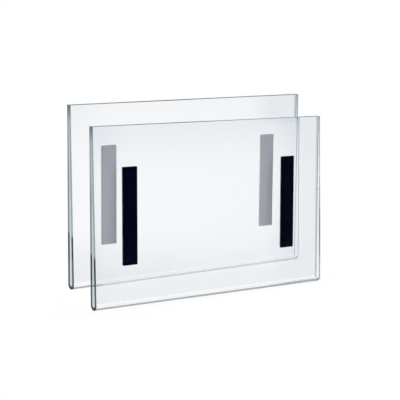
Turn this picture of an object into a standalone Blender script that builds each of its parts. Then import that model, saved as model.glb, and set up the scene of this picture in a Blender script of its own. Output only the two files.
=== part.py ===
"""A pair of clear acrylic sign holders. Each is one sheet folded into a pocket, with two magnet strips on its back.

The rear holder hangs on a steel surface. The front one leans back on it, lower, further right and a little
askew, so that only its left strip touches it. +X is right as the sign is read, +Y points into the surface and
+Z is up. The origin lies on the surface, midway between the rear holder's strips. Metres throughout.
"""

import math

import bmesh
import bpy
from mathutils import Euler, Vector

MM = 0.001

# The pocket: one sheet, folded along its lower edge and open at the top and both ends
POCKET_WIDTH = 215.9 * MM
POCKET_HEIGHT = 139.7 * MM
SHEET_THICKNESS = 2.5 * MM
FOLD_GAP = 3.7 * MM  # clear space between the leaves at the fold
MOUTH_GAP = 0.2 * MM  # clear space between the leaves at the open top
EDGE_ARRIS = 0.25 * MM  # flat taken off each polished edge
FOLD_STEPS = 64

# The magnet strips, and the adhesive film that bonds each one to the back leaf
STRIP_LENGTH = 76.2 * MM
STRIP_WIDTH = 12.7 * MM
STRIP_THICKNESS = 1.5 * MM
STRIP_CORNER = 0.5 * MM
STRIP_END_MARGIN = 26.2 * MM  # from the pocket's end to the strip's outer side, the mean of left and right
STRIP_SHIFT = 1.7 * MM  # of both strips to the right
STRIP_DROP = 0.4 * MM  # of the strips below the pocket's mid-height
FILM_THICKNESS = 0.2 * MM
FILM_INSET = 0.25 * MM  # the film stops this far inside the strip's outline
BOND_GAP = 0.05 * MM  # on each side of the film

# How the pair stands: the front holder's place, seen from the rear holder, and its turn about its middle
PAIR_SHIFT = 14.0 * MM  # to the right
PAIR_DROP = 17.1 * MM  # down
PAIR_YAW = math.radians(-1.1)  # its right end stands further out
PAIR_ROLL = math.radians(0.5)  # its right end is lower
PAIR_CLEARANCE = 0.3 * MM  # between the front strips and the rear pocket

# Each holder below has its own origin on the back leaf's rear face, at mid-width and at the lowest line
FOLD_OUTER_RADIUS = FOLD_GAP / 2 + SHEET_THICKNESS
FOLD_MIDDLE_RADIUS = FOLD_GAP / 2 + SHEET_THICKNESS / 2
STRIP_STACK = BOND_GAP + FILM_THICKNESS + BOND_GAP + STRIP_THICKNESS
STRIP_CENTRE_X = POCKET_WIDTH / 2 - STRIP_END_MARGIN - STRIP_WIDTH / 2
STRIP_CENTRE_Z = POCKET_HEIGHT / 2 - STRIP_DROP


def front_leaf_lean():
    """Angle that brings the front leaf, tangent to the fold, to the mouth gap at the top."""
    rise = POCKET_HEIGHT - FOLD_OUTER_RADIUS
    reach = FOLD_OUTER_RADIUS - MOUTH_GAP - 1.5 * SHEET_THICKNESS
    return math.atan2(reach, rise) + math.asin(FOLD_MIDDLE_RADIUS / math.hypot(rise, reach))


def fold_point(angle, radius):
    """Point on the fold, turned from the back leaf's side down and round to the front leaf's."""
    return Vector((
        0,
        -FOLD_OUTER_RADIUS + radius * math.cos(angle),
        FOLD_OUTER_RADIUS - radius * math.sin(angle),
    ))


def front_face_y(height):
    """Where the front leaf's outer face is at this height above the lowest line."""
    lean = front_leaf_lean()
    start = fold_point(math.pi + lean, FOLD_OUTER_RADIUS)
    return start.y + (height - start.z) * math.tan(lean)


def sheet_middle_line():
    """The sheet's middle in section: down the back leaf, round the fold and up the front leaf."""
    lean = front_leaf_lean()
    sweep = math.pi + lean
    line = [Vector((0, -SHEET_THICKNESS / 2, POCKET_HEIGHT))]
    for step in range(FOLD_STEPS + 1):
        line.append(fold_point(sweep * step / FOLD_STEPS, FOLD_MIDDLE_RADIUS))
    last = line[-1]
    rise = POCKET_HEIGHT - last.z
    line.append(last + Vector((0, rise * math.tan(lean), rise)))
    return line


def material(name, colour, roughness, transmission=0.0, ior=1.5):
    """A Principled material with one colour."""
    made = bpy.data.materials.new(name)
    made.use_nodes = True
    made.diffuse_color = (*colour, 1.0)
    shader = made.node_tree.nodes["Principled BSDF"]
    shader.inputs["Base Color"].default_value = (*colour, 1.0)
    shader.inputs["Roughness"].default_value = roughness
    shader.inputs["Metallic"].default_value = 0.0
    shader.inputs["Transmission Weight"].default_value = transmission
    shader.inputs["IOR"].default_value = ior
    return made


def new_object(name, mesh, collection, made_of):
    """Links a mesh as a named object with its own material."""
    obj = bpy.data.objects.new(name, mesh)
    collection.objects.link(obj)
    mesh.materials.append(made_of)
    return obj


def add_bevel(obj, width, segments, angle):
    """Bevels the edges that turn more than this angle."""
    bevel = obj.modifiers.new("Edges", "BEVEL")
    bevel.width = width
    bevel.segments = segments
    bevel.limit_method = "ANGLE"
    bevel.angle_limit = angle


def apply_modifiers(obj, sharp_angle):
    """Makes the modifiers' result the object's own mesh, shaded smooth apart from its sharp edges."""
    graph = bpy.context.evaluated_depsgraph_get()
    mesh = bpy.data.meshes.new_from_object(obj.evaluated_get(graph))
    mesh.name = obj.name
    mesh.shade_smooth()
    mesh.set_sharp_from_angle(angle=sharp_angle)
    obj.modifiers.clear()
    obj.data = mesh


def make_pocket(name, collection):
    """The folded sheet: its middle surface, thickened, with the arris taken off its edges."""
    bm = bmesh.new()
    points = [bm.verts.new(p - Vector((POCKET_WIDTH / 2, 0, 0))) for p in sheet_middle_line()]
    edges = [bm.edges.new(pair) for pair in zip(points, points[1:])]
    swept = bmesh.ops.extrude_edge_only(bm, edges=edges)["geom"]
    moved = [item for item in swept if isinstance(item, bmesh.types.BMVert)]
    bmesh.ops.translate(bm, verts=moved, vec=(POCKET_WIDTH, 0, 0))
    mesh = bpy.data.meshes.new(name)
    bm.to_mesh(mesh)
    bm.free()

    clear = material(name + "_acrylic", (0.93, 0.96, 0.97), 0.03, transmission=1.0, ior=1.49)
    pocket = new_object(name, mesh, collection, clear)
    thicken = pocket.modifiers.new("Sheet", "SOLIDIFY")
    thicken.thickness = SHEET_THICKNESS
    thicken.offset = 0.0
    thicken.use_even_offset = True
    add_bevel(pocket, EDGE_ARRIS, 1, math.radians(60))
    apply_modifiers(pocket, math.radians(20))
    return pocket


def make_slab(name, width, length, thickness, corner, collection, made_of):
    """A flat strip standing upright, its origin at the middle of its front face, with rounded corners."""
    bm = bmesh.new()
    bmesh.ops.create_cube(bm, size=1.0)
    bmesh.ops.scale(bm, vec=(width, thickness, length), verts=bm.verts)
    bmesh.ops.translate(bm, vec=(0, thickness / 2, 0), verts=bm.verts)
    across = [edge for edge in bm.edges if abs(edge.verts[0].co.y - edge.verts[1].co.y) > thickness / 2]
    bmesh.ops.bevel(bm, geom=across, offset=corner, segments=4, profile=0.5, affect="EDGES")
    mesh = bpy.data.meshes.new(name)
    bm.to_mesh(mesh)
    bm.free()
    mesh.shade_smooth()
    mesh.set_sharp_from_angle(angle=math.radians(35))
    return new_object(name, mesh, collection, made_of)


def strip_centre_x(sign):
    """Where the left (-1) or right (1) strip's middle is across the pocket."""
    return STRIP_SHIFT + sign * STRIP_CENTRE_X


def make_holder(prefix, strip_colour, collection):
    """One holder under an empty: the pocket, and on its back two films and two magnet strips."""
    holder = bpy.data.objects.new(prefix + "_holder", None)
    collection.objects.link(holder)
    make_pocket(prefix + "_pocket", collection).parent = holder
    for side, sign in (("left", -1), ("right", 1)):
        film = make_slab(
            f"{prefix}_{side}_adhesive_film",
            STRIP_WIDTH - 2 * FILM_INSET,
            STRIP_LENGTH - 2 * FILM_INSET,
            FILM_THICKNESS,
            STRIP_CORNER - FILM_INSET / 2,
            collection,
            material(f"{prefix}_{side}_film", strip_colour, 0.35),
        )
        film.parent = holder
        film.location = (strip_centre_x(sign), BOND_GAP, STRIP_CENTRE_Z)
        strip = make_slab(
            f"{prefix}_{side}_magnet_strip",
            STRIP_WIDTH,
            STRIP_LENGTH,
            STRIP_THICKNESS,
            STRIP_CORNER,
            collection,
            material(f"{prefix}_{side}_magnet", strip_colour, 0.6),
        )
        strip.parent = holder
        strip.location = (strip_centre_x(sign), STRIP_STACK - STRIP_THICKNESS, STRIP_CENTRE_Z)
    return holder


def pair_place():
    """The front holder's origin and turn, seen from the rear holder's, where its strips just clear the pocket."""
    # Its back leaf is parallel to the leaning front leaf behind it before it is turned askew
    turn = Euler((-front_leaf_lean(), PAIR_ROLL, PAIR_YAW), "YXZ")
    middle = Vector((0, 0, POCKET_HEIGHT / 2))
    place = middle + Vector((PAIR_SHIFT, 0, -PAIR_DROP)) - turn.to_matrix() @ middle
    overlaps = []
    for sign in (-1, 1):
        for side in (-1, 1):
            for end in (-1, 1):
                corner = place + turn.to_matrix() @ Vector((
                    strip_centre_x(sign) + side * STRIP_WIDTH / 2,
                    STRIP_STACK,
                    STRIP_CENTRE_Z + end * STRIP_LENGTH / 2,
                ))
                overlaps.append(corner.y - front_face_y(corner.z))
    place.y -= max(overlaps) + PAIR_CLEARANCE
    return place, turn


def main():
    for obj in list(bpy.data.objects):
        bpy.data.objects.remove(obj, do_unlink=True)
    collection = bpy.data.collections.new("acrylic_sign_holder")
    bpy.context.scene.collection.children.link(collection)

    rear = make_holder("rear", (0.33, 0.335, 0.36), collection)
    rear.location = (-STRIP_SHIFT, -STRIP_STACK, -STRIP_CENTRE_Z)
    place, turn = pair_place()
    front = make_holder("front", (0.006, 0.006, 0.014), collection)
    front.location = rear.location + place
    front.rotation_mode = turn.order
    front.rotation_euler = turn


main()
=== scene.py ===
"""The looks of a pair of clear acrylic sign holders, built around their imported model.

Each holder is one sheet folded into a pocket, with two magnet strips bonded to its back. Metres throughout;
+X is right as the sign is read, +Y points into the surface that the rear holder hangs on, and +Z is up.
"""
import math

import bmesh
import bpy
from mathutils import Matrix, Vector


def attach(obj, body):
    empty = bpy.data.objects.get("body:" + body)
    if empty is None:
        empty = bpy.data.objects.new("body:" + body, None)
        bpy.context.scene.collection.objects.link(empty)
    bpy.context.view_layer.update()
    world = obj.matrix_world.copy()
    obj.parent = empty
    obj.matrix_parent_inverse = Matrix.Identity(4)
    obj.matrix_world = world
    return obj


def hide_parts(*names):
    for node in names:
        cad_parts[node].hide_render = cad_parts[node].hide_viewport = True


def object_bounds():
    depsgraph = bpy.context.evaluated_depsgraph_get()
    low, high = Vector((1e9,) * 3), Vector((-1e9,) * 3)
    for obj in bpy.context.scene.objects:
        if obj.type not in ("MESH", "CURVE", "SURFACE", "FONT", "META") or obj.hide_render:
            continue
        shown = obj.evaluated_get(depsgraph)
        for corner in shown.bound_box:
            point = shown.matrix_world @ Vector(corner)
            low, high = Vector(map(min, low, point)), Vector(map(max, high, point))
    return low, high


MM = 0.001

# The photograph's camera, from a fit to both holders' outlines
PICTURE_SIDE = 400  # pixels
FOCAL_LENGTH = 1284  # pixels
SENSOR_WIDTH = 36.0  # in Blender's millimetres
CAMERA_PLACE = Vector((-568.6, -839.4, 155.4)) * MM
CAMERA_YAW = math.radians(-34.69)
CAMERA_PITCH = math.radians(-9.31)
CAMERA_ROLL = math.radians(-0.58)

# Below, a share is one of a pocket's width, from its left end, or of its height, from its lowest line.
# A pair of shares or lengths gives the two places between which a look fades in.

# The clear sheet, with a painted grey shade towards its borders, which makes them darker than its middle
IOR = 1.49
SHEET_GLOSS = (0.005, 0.005, 0.005)  # the photograph shows no veil of reflections on the sheets
ABSORPTION_COLOUR = (0.45, 0.62, 0.68)
ABSORPTION_DENSITY = 2.5  # per metre
CLEAR_MIDDLE = (0.988, 0.989, 0.993)
CLEAR_BORDER_SHADE = (0.892, 0.91, 0.926)
NOISE_SPREAD = (0.3, 0.7)  # most of a noise lies between these
CLOUDS = 25  # per metre
BETWEEN_CLOUDS = 0.85  # the part of its grey that a border keeps there

# The borders' painted shades, which add up in the corners, and the shares at which they start
LEFT_GREY = 0.25
LEFT_BORDER = 0.2
RIGHT_GREY = 0.87
RIGHT_BORDER = 0.72
TOP_GREY = 0.37
TOP_BORDER = 0.65
LOW_GREY = 0.5
LOW_BORDER = 0.35
LOWEST_GREY = 0.3  # on top of the low one
LOWEST_BORDER = (0.22, 0.1)

# What differs in the painted shades on the rear sheet, which shows through the front one from a share of its
# width on, and up to a share of its height
COVERED_FROM = (0.08, 0.14)
COVERED_UP_TO = (0.8, 0.9)
COVERED_LINE = 0.55  # of the fold line's strength
COVERED_RIGHT_GREY = 0.05
OPEN_RIGHT_GREY = 1.1
OPEN_LOWEST_GREY = 0.19
OPEN_LOWEST_BORDER = (0.38, 0.1)
REAR_LOW_GREY = 0.31
REAR_LOW_PALES = (0.38, 0.5)  # to that grey, between these shares of the width

# Depths from a pocket's front, which tell its leaves and their faces apart
FOLD_MIDDLE = 4.35 * MM
FRONT_HALF = (FOLD_MIDDLE, 0.9 * FOLD_MIDDLE)
BACK_HALF = (FOLD_MIDDLE, 1.1 * FOLD_MIDDLE)
BACK_LEAF = (0.9 * FOLD_MIDDLE, 1.1 * FOLD_MIDDLE)
BACK_FACE = (1.6 * FOLD_MIDDLE, 1.8 * FOLD_MIDDLE)
FRONT_FACE = (0.56 * FOLD_MIDDLE, 0.3 * FOLD_MIDDLE)  # low down only, since the front leaf leans back

# Low on the fold the sheet is quite clear, free of the painted border shade, apart from a painted grey-green
# shade line on the fold's front half
CLEAR_BAND = (1.0, 1.0, 1.0)
CLEAR_BAND_TOP = (4.0 * MM, 5.0 * MM)
FOLD_LINE_SHADE = (0.14, 0.19, 0.205)
FOLD_LINE_LOW = (0.56 * MM, 0.875 * MM)
FOLD_LINE_HIGH = (2.99 * MM, 2.21 * MM)
FOLD_LINE_GROWTH = 0.5 * MM  # upwards, on the front holder
FOLD_LINE_GROWS = (0.7, 0.9)

# The painted shade in the gap's left end, and the painted shade along the right end
GAP_SHADE = (0.42, 0.49, 0.49)
GAP_SHADE_END = (2.835 * MM, 2.565 * MM)  # at the fold
GAP_SHADE_NARROWING = 2.7 * MM  # from there up to the top, as the gap narrows
RIM_SHADE = (0.45, 0.50, 0.52)
BACK_RIM_WIDTH = (1.2 * MM, 0.8 * MM)  # at the fold
BACK_RIM_WIDENING = 1.2 * MM  # from there up to the top
FRONT_RIM_WIDTH = (2.53 * MM, 2.07 * MM)

# The cut ends and tops
# The cut faces' own grey-green, with painted shade that makes it darker towards the left end than at the
# right one
EDGE_LEFT = (0.40, 0.49, 0.52)
EDGE_RIGHT = (0.86, 0.91, 0.93)
# The colour of the painted dark shade on the cut faces
EDGE_PAINTED_SHADE = (0.004, 0.022, 0.045)
EDGE_GLOSS = 0.15
EDGE_RELIEF = 0.05 * MM
EDGE_MIDDLE = (0.4, 0.6)  # between these shares, the left end's clearness and frost turn into the right end's
LEFT_CLEARNESS = 0.2
RIGHT_CLEARNESS = 1.0
FRONT_CLEARNESS_LOW = 0.75  # at the front holder's right end
FRONT_CLEARNESS_HIGH = 0.95
LEAST_FROST = 0.2  # at the left end
MOST_FROST = 0.3
RIGHT_FROST = 0.2  # of the left end's
POLISH_GRAIN = 1500  # cells per metre
POLISH_RELIEF = 0.1  # of the saw marks' relief
CUT_FACING = 0.5  # how much a cut face's normal points along the pocket, or up, at the least

# Low on the ends, the saw marks, and the left end's painted dark shade run, which starts higher on the back
# leaf
SAW_PITCH = 2.0 * MM
SAW_TOP = (0.18, 0.14)
SAW_FOOT = (2.5 * MM, 5.0 * MM)  # further down, the marks don't lighten the run
SAW_LIGHTENING = 0.35
WAVE_RATE = 20  # radians per metre, of a wave texture at a scale of 1
RUN_TOP = (0.31, 0.28)
RUN_STEP = 0.02

# Further painted shades: on the ends, that of the back leaf and that of the highest part, and that of the
# tops
BACK_SHADE = 0.35
BACK_SHADE_TOP = (0.8, 0.6)
HIGH_SHADE = 0.6
HIGH_SHADE_START = 0.9
ENDS_SHADE_LAST = 1.1  # the share at which the ends' shades are gone, just past the right end
TOP_SHADE_LEFT = 0.55
TOP_SHADE_FULL = 0.5  # the share from which on the tops are quite dark
TOP_FACE = (0.3 * MM, 0.24 * MM)  # below the highest line; lower down, a cut face is one of the ends

# The rubber strips, and the films that bond them to the sheets
FRONT_RUBBER = (0.0006, 0.0015, 0.011)
# The rear strips are black like the front ones; their grey is a painted veil of the front sheet's reflections
# over them
REAR_RUBBER_PAINTED_VEIL = (0.49, 0.48, 0.515)
RUBBER_GRAIN = 2500  # cells per metre
RUBBER_CONTRAST = 1.25  # of its lightest grains to its colour, and of that to its darkest ones
RUBBER_RELIEF = 0.03 * MM
RUBBER_GLOSS = 0.3
FILM_GLOSS = 0.0
LEAST_ROUGHNESS = 0.5
MOST_ROUGHNESS = 0.7

# The floor, the studio and the paths of light
WHITE = (1.0, 1.0, 1.0)
HORIZON = (0.55, 0.55, 0.55)  # the studio's light from the sides and from below
FLOOR_SIZE = 60
FLOOR_SHADE = 0.1  # the share of the floor's white that a shadow can take away
FLOOR_LIGHT = 0.915  # its own, which reads white with the studio's light on it
FLOOR_FRONT = (-0.125, -0.25)  # mirrored, it is dark from here forward, as in a studio lit round its table
BOUNCES = 32

# The pockets' meshes
WELD = 0.001 * MM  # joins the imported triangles' shared corners
SHARP_ANGLE = math.radians(20)  # an edge that turns by more stays sharp

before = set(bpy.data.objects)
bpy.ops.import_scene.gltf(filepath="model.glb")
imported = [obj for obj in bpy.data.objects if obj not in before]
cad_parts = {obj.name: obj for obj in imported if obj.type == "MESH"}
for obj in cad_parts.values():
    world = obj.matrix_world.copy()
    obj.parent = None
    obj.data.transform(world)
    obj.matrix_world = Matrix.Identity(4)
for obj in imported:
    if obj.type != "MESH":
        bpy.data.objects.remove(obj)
cad_low, cad_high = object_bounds()


def material(name):
    """A Principled material, its node tree and its shader."""
    made = bpy.data.materials.new(name)
    made.use_nodes = True
    return made, made.node_tree, made.node_tree.nodes["Principled BSDF"]


def feed(tree, socket, value):
    """Gives a socket a number, a colour or another node's output."""
    if isinstance(value, bpy.types.NodeSocket):
        tree.links.new(value, socket)
    elif isinstance(value, tuple):
        socket.default_value = (*value, 1.0)
    else:
        socket.default_value = value


def calculate(tree, operation, *values):
    """Arithmetic on two or more values, kept between 0 and 1."""
    result = values[0]
    for value in values[1:]:
        node = tree.nodes.new("ShaderNodeMath")
        node.operation = operation
        node.use_clamp = True
        feed(tree, node.inputs[0], result)
        feed(tree, node.inputs[1], value)
        result = node.outputs[0]
    return result


def times(tree, *values):
    """The values' product."""
    return calculate(tree, "MULTIPLY", *values)


def plus(tree, *values):
    """The values' sum, up to 1."""
    return calculate(tree, "ADD", *values)


def minus(tree, value, other):
    """What the other value leaves of the first, down to 0."""
    return calculate(tree, "SUBTRACT", value, other)


def span(shares, size):
    """A pair of shares of a pocket's width or height, in metres."""
    return [share * size for share in shares]


def fade(tree, value, start, end, first=0.0, last=1.0):
    """Turns smoothly from first at start to last at end.

    Start may be the higher one, and first and last may be numbers or the outputs of nodes.
    """
    node = tree.nodes.new("ShaderNodeMapRange")
    node.interpolation_type = "SMOOTHSTEP"
    feed(tree, node.inputs["Value"], value)
    node.inputs["From Min"].default_value = min(start, end)
    node.inputs["From Max"].default_value = max(start, end)
    feed(tree, node.inputs["To Min"], first if start < end else last)
    feed(tree, node.inputs["To Max"], last if start < end else first)
    return node.outputs["Result"]


def mix(tree, factor, a, b):
    """A colour between a at 0 and b at 1."""
    node = tree.nodes.new("ShaderNodeMix")
    node.data_type = "RGBA"
    feed(tree, node.inputs["Factor"], factor)
    # By number, because the colours' sockets share their names with those of other kinds
    feed(tree, node.inputs[6], a)
    feed(tree, node.inputs[7], b)
    return node.outputs[2]


def place_on_piece(tree):
    """A point's own place on its piece, in metres, on a pocket from its lower left front corner."""
    return tree.nodes.new("ShaderNodeTexCoord").outputs["Object"]


def axes(tree, where):
    """The three parts of a place or a direction: along, into and up."""
    split = tree.nodes.new("ShaderNodeSeparateXYZ")
    tree.links.new(where, split.inputs[0])
    return split.outputs["X"], split.outputs["Y"], split.outputs["Z"]


def noise(tree, where, scale):
    """Noise between 0 and 1, with this many cells per metre."""
    node = tree.nodes.new("ShaderNodeTexNoise")
    tree.links.new(where, node.inputs["Vector"])
    node.inputs["Scale"].default_value = scale
    return node.outputs["Fac"]


def emboss(tree, shader, relief, distance):
    """Bends the shader's normal by a relief of this depth."""
    bump = tree.nodes.new("ShaderNodeBump")
    bump.inputs["Distance"].default_value = distance
    feed(tree, bump.inputs["Height"], relief)
    tree.links.new(bump.outputs["Normal"], shader.inputs["Normal"])


def acrylic(name):
    """A material whose own colour shows along a sheet, and hardly through its thickness."""
    made, tree, shader = material(name)
    shader.inputs["IOR"].default_value = IOR
    inside = tree.nodes.new("ShaderNodeVolumeAbsorption")
    feed(tree, inside.inputs["Color"], ABSORPTION_COLOUR)
    feed(tree, inside.inputs["Density"], ABSORPTION_DENSITY)
    tree.links.new(inside.outputs["Volume"], tree.nodes["Material Output"].inputs["Volume"])
    return made, tree, shader


def borders(tree, along, up, width, height, right_grey, behind):
    """How much painted grey shade the sheet has near its borders."""
    if behind:
        low_grey = fade(tree, along, *span(REAR_LOW_PALES, width), first=LOW_GREY, last=REAR_LOW_GREY)
        lowest_grey = fade(tree, along, *span(COVERED_FROM, width), first=OPEN_LOWEST_GREY, last=0.0)
        lowest = fade(tree, up, *span(OPEN_LOWEST_BORDER, height), last=lowest_grey)
    else:
        low_grey = LOW_GREY
        lowest = fade(tree, up, *span(LOWEST_BORDER, height), last=LOWEST_GREY)
    return plus(
        tree,
        fade(tree, along, LEFT_BORDER * width, 0.0, last=LEFT_GREY),
        times(tree, fade(tree, along, RIGHT_BORDER * width, width), right_grey),
        fade(tree, up, LOW_BORDER * height, 0.0, last=low_grey),
        lowest,
        fade(tree, up, TOP_BORDER * height, height, last=TOP_GREY),
    )


def gap_shade(tree, along, depth, up, height):
    """Where the gap's left end is shaded, on the leaves' inner faces behind the fold's middle."""
    narrowing = times(tree, up, GAP_SHADE_NARROWING / height)
    return times(
        tree,
        fade(tree, plus(tree, along, narrowing), *GAP_SHADE_END),
        fade(tree, depth, *BACK_HALF),
        fade(tree, depth, *reversed(BACK_FACE)),
    )


def painted_rim_shades(tree, along, depth, up, width, height):
    """Where the right end has its painted shade, on the back leaf's back and low on the front leaf's front.
    """
    from_right = minus(tree, width, along)
    narrower = minus(tree, from_right, times(tree, up, BACK_RIM_WIDENING / height))
    back_rim = times(tree, fade(tree, narrower, *BACK_RIM_WIDTH), fade(tree, depth, *BACK_FACE))
    front_rim = times(tree, fade(tree, from_right, *FRONT_RIM_WIDTH), fade(tree, depth, *FRONT_FACE))
    return plus(tree, back_rim, front_rim)


def painted_fold_line(tree, along, depth, up, width, behind):
    """Where the painted grey-green shade line low on the fold's front half is, and how strong."""
    if behind:
        growth = 0.0
        strength = fade(tree, along, *span(COVERED_FROM, width), first=1.0, last=COVERED_LINE)
    else:
        growth = fade(tree, along, *span(FOLD_LINE_GROWS, width), last=FOLD_LINE_GROWTH)
        strength = 1.0
    return times(
        tree,
        fade(tree, up, *FOLD_LINE_LOW),
        fade(tree, minus(tree, up, growth), *FOLD_LINE_HIGH),
        fade(tree, depth, *FRONT_HALF),
        strength,
    )


def clear_acrylic(width, height, behind):
    """Clear sheet, a little cloudy, with painted shade towards its borders and painted shades on its fold, in
    its gap and along its right end.

    Where one holder shows behind the other's sheet, its painted fold line shade, its painted shade along the
    right end and the painted shades of its low and right borders are fainter.
    """
    made, tree, shader = acrylic("clear_acrylic")
    where = place_on_piece(tree)
    along, depth, up = axes(tree, where)
    if behind:
        limits = span(COVERED_UP_TO, height)
        right_grey = fade(tree, up, *limits, first=COVERED_RIGHT_GREY, last=OPEN_RIGHT_GREY)
    else:
        right_grey = RIGHT_GREY
    grey = borders(tree, along, up, width, height, right_grey, behind)
    clouds = fade(tree, noise(tree, where, CLOUDS), *NOISE_SPREAD, first=BETWEEN_CLOUDS)
    painted_rim_shade = times(tree, painted_rim_shades(tree, along, depth, up, width, height), right_grey)
    # The painted border shade, broken up a little by the clouds
    colour = mix(tree, times(tree, grey, clouds), CLEAR_MIDDLE, CLEAR_BORDER_SHADE)
    colour = mix(tree, fade(tree, up, *CLEAR_BAND_TOP), CLEAR_BAND, colour)
    colour = mix(tree, gap_shade(tree, along, depth, up, height), colour, GAP_SHADE)
    # The painted shade along the right end
    colour = mix(tree, painted_rim_shade, colour, RIM_SHADE)
    # The painted shade line low on the fold
    colour = mix(tree, painted_fold_line(tree, along, depth, up, width, behind), colour, FOLD_LINE_SHADE)
    feed(tree, shader.inputs["Base Color"], colour)
    feed(tree, shader.inputs["Specular Tint"], SHEET_GLOSS)
    shader.inputs["Transmission Weight"].default_value = 1.0
    shader.inputs["Roughness"].default_value = 0.0
    return made


def saw_marks(tree, where, up, height):
    """Lines across the lower part of the cut ends."""
    saw = tree.nodes.new("ShaderNodeTexWave")
    saw.bands_direction = "Z"
    saw.inputs["Scale"].default_value = math.tau / (WAVE_RATE * SAW_PITCH)
    tree.links.new(where, saw.inputs["Vector"])
    return times(tree, saw.outputs["Fac"], fade(tree, up, *span(SAW_TOP, height)))


def cut_painted_shade(tree, marks, along, depth, up, width, height):
    """How much painted shade the cut faces have: the ends by their run and their further shades, and the tops
    by theirs.
    """
    back_leaf = fade(tree, depth, *BACK_LEAF)
    level = minus(tree, up, times(tree, back_leaf, RUN_STEP * height))
    lightening = times(tree, marks, fade(tree, up, *SAW_FOOT, last=SAW_LIGHTENING))
    run = minus(tree, fade(tree, level, *span(RUN_TOP, height)), lightening)
    back = times(tree, fade(tree, up, *span(BACK_SHADE_TOP, height), last=BACK_SHADE), back_leaf)
    high = fade(tree, up, HIGH_SHADE_START * height, height, last=HIGH_SHADE)
    ends = plus(tree, calculate(tree, "MAXIMUM", run, back), high)
    ends = times(tree, ends, fade(tree, along, ENDS_SHADE_LAST * width, 0.0))
    tops = times(
        tree,
        fade(tree, along, 0.0, TOP_SHADE_FULL * width, first=TOP_SHADE_LEFT),
        fade(tree, minus(tree, height, up), *TOP_FACE),
    )
    return calculate(tree, "MAXIMUM", ends, tops)


def cut_edge(width, height, behind):
    """The cut ends and tops: grey-green with painted shade and frosted towards the left end, polished towards
    the right one.
    """
    made, tree, shader = acrylic("cut_acrylic_edge")
    where = place_on_piece(tree)
    along, depth, up = axes(tree, where)
    marks = saw_marks(tree, where, up, height)
    light = mix(tree, fade(tree, along, 0.0, width), EDGE_LEFT, EDGE_RIGHT)
    painted_shade = cut_painted_shade(tree, marks, along, depth, up, width, height)
    feed(tree, shader.inputs["Base Color"], mix(tree, painted_shade, light, EDGE_PAINTED_SHADE))

    right = RIGHT_CLEARNESS
    if not behind:
        right = fade(tree, up, 0.0, height, first=FRONT_CLEARNESS_LOW, last=FRONT_CLEARNESS_HIGH)
    middle = span(EDGE_MIDDLE, width)
    feed(
        tree,
        shader.inputs["Transmission Weight"],
        fade(tree, along, *middle, first=LEFT_CLEARNESS, last=right),
    )
    polish = noise(tree, where, POLISH_GRAIN)
    frost = times(
        tree,
        fade(tree, along, *middle, first=1.0, last=RIGHT_FROST),
        fade(tree, polish, *NOISE_SPREAD, first=LEAST_FROST, last=MOST_FROST),
    )
    feed(tree, shader.inputs["Roughness"], frost)
    shader.inputs["Specular IOR Level"].default_value = EDGE_GLOSS
    emboss(tree, shader, plus(tree, marks, times(tree, polish, POLISH_RELIEF)), EDGE_RELIEF)
    return made


def rubber(name, colour, gloss):
    """Matt strip rubber or film, with a fine grain."""
    made, tree, shader = material(name)
    grain = noise(tree, place_on_piece(tree), RUBBER_GRAIN)
    darkest = tuple(level / RUBBER_CONTRAST for level in colour)
    lightest = tuple(level * RUBBER_CONTRAST for level in colour)
    feed(tree, shader.inputs["Base Color"], mix(tree, grain, darkest, lightest))
    roughness = fade(tree, grain, *NOISE_SPREAD, first=LEAST_ROUGHNESS, last=MOST_ROUGHNESS)
    feed(tree, shader.inputs["Roughness"], roughness)
    shader.inputs["Specular IOR Level"].default_value = gloss
    emboss(tree, shader, grain, RUBBER_RELIEF)
    return made


def own_axes(mesh):
    """The turn of a packed pocket, from the normals of its right end and of its back leaf."""
    along = max(mesh.polygons, key=lambda face: face.normal.x).normal
    back = max(mesh.polygons, key=lambda face: face.area * face.normal.y).normal
    return Matrix((along, back, along.cross(back))).transposed().to_4x4()


def make_pocket(node, body, behind):
    """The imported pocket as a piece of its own, upright in its own axes.

    Its fold is smooth, and its cut faces have a material of their own.
    """
    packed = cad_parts[node].data
    turn = own_axes(packed)
    upright = turn.inverted()
    corners = [upright @ vertex.co for vertex in packed.vertices]
    low = Vector([min(corner[axis] for corner in corners) for axis in range(3)])
    high = Vector([max(corner[axis] for corner in corners) for axis in range(3)])
    width, height = high.x - low.x, high.z - low.z
    mesh = bpy.data.meshes.new(body + "_clear_pocket")
    faces = [list(face.vertices) for face in packed.polygons]
    mesh.from_pydata([corner - low for corner in corners], [], faces)
    bm = bmesh.new()
    bm.from_mesh(mesh)
    bmesh.ops.remove_doubles(bm, verts=bm.verts, dist=WELD)
    bm.to_mesh(mesh)
    bm.free()
    mesh.materials.append(clear_acrylic(width, height, behind))
    mesh.materials.append(cut_edge(width, height, behind))
    for face in mesh.polygons:
        top = face.normal.z > CUT_FACING and face.center.z > height / 2
        face.material_index = 1 if top or abs(face.normal.x) > CUT_FACING else 0
    mesh.shade_smooth()
    mesh.set_sharp_from_angle(angle=SHARP_ANGLE)
    pocket = bpy.data.objects.new(mesh.name, mesh)
    bpy.context.scene.collection.objects.link(pocket)
    pocket.matrix_world = turn @ Matrix.Translation(low)
    weigh = pocket.modifiers.new("Normals", "WEIGHTED_NORMAL")
    weigh.keep_sharp = True
    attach(pocket, body)
    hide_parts(node)


def make_camera():
    """The photograph's camera."""
    data = bpy.data.cameras.new("camera")
    data.sensor_width = SENSOR_WIDTH
    data.lens = FOCAL_LENGTH / PICTURE_SIDE * SENSOR_WIDTH
    camera = bpy.data.objects.new("camera", data)
    bpy.context.scene.collection.objects.link(camera)
    camera.matrix_world = (
        Matrix.Translation(CAMERA_PLACE)
        @ Matrix.Rotation(CAMERA_YAW, 4, "Z")
        @ Matrix.Rotation(CAMERA_PITCH, 4, "X")
        @ Matrix.Rotation(CAMERA_ROLL, 4, "Y")
        @ Matrix.Rotation(math.pi / 2, 4, "X")
    )
    bpy.context.scene.camera = camera


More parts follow.
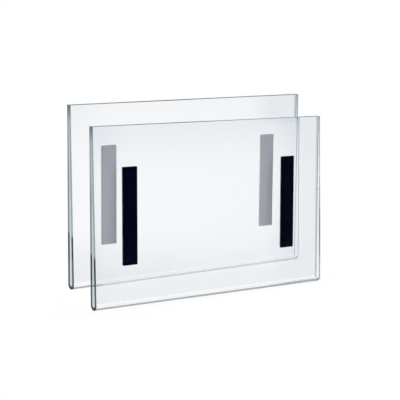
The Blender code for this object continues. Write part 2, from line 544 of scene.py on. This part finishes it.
def make_floor():
    """A pale floor that reads white and keeps a soft shadow, and whose front is dark in reflections."""
    bpy.ops.mesh.primitive_plane_add(size=FLOOR_SIZE, location=(0, 0, cad_low.z))
    floor = bpy.context.object
    floor.name = "floor"
    made, tree, shader = material("floor")
    feed(tree, shader.inputs["Base Color"], (FLOOR_SHADE, FLOOR_SHADE, FLOOR_SHADE))
    feed(tree, shader.inputs["Emission Color"], WHITE)
    shader.inputs["Roughness"].default_value = 1.0
    shader.inputs["Specular IOR Level"].default_value = 0.0
    backward = axes(tree, place_on_piece(tree))[1]
    mirrored = tree.nodes.new("ShaderNodeLightPath").outputs["Glossy Depth"]
    dark = times(tree, mirrored, fade(tree, backward, *FLOOR_FRONT))
    feed(tree, shader.inputs["Emission Strength"], minus(tree, FLOOR_LIGHT, dark))
    floor.data.materials.append(made)


def make_world():
    """A studio that reads white, whose light is a little stronger from above."""
    world = bpy.data.worlds.new("studio")
    world.use_nodes = True
    bpy.context.scene.world = world
    tree = world.node_tree
    upward = axes(tree, tree.nodes.new("ShaderNodeTexCoord").outputs["Generated"])[2]
    light = mix(tree, fade(tree, upward, 0.0, 1.0), HORIZON, WHITE)
    path = tree.nodes.new("ShaderNodeLightPath")
    seen = plus(tree, path.outputs["Is Camera Ray"], path.outputs["Is Transmission Ray"])
    feed(tree, tree.nodes["Background"].inputs["Color"], mix(tree, seen, light, WHITE))


for prefix, colour in (("front", FRONT_RUBBER), ("rear", REAR_RUBBER_PAINTED_VEIL)):
    make_pocket(prefix + "_pocket", prefix + "_holder", behind=prefix == "rear")
    for name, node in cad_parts.items():
        if name.startswith(prefix) and not name.endswith("pocket"):
            gloss = FILM_GLOSS if name.endswith("film") else RUBBER_GLOSS
            node.data.materials.clear()
            node.data.materials.append(rubber(name, colour, gloss))

# The rear strips are seen through eight faces of acrylic and lit through eight more, which takes many
# bounces. The filter on glossy paths would dim that light.
bpy.context.scene.cycles.max_bounces = BOUNCES
bpy.context.scene.cycles.transmission_bounces = BOUNCES
bpy.context.scene.cycles.blur_glossy = 0.0

make_camera()
make_floor()
make_world()

bpy.context.scene.view_settings.view_transform = "Standard"
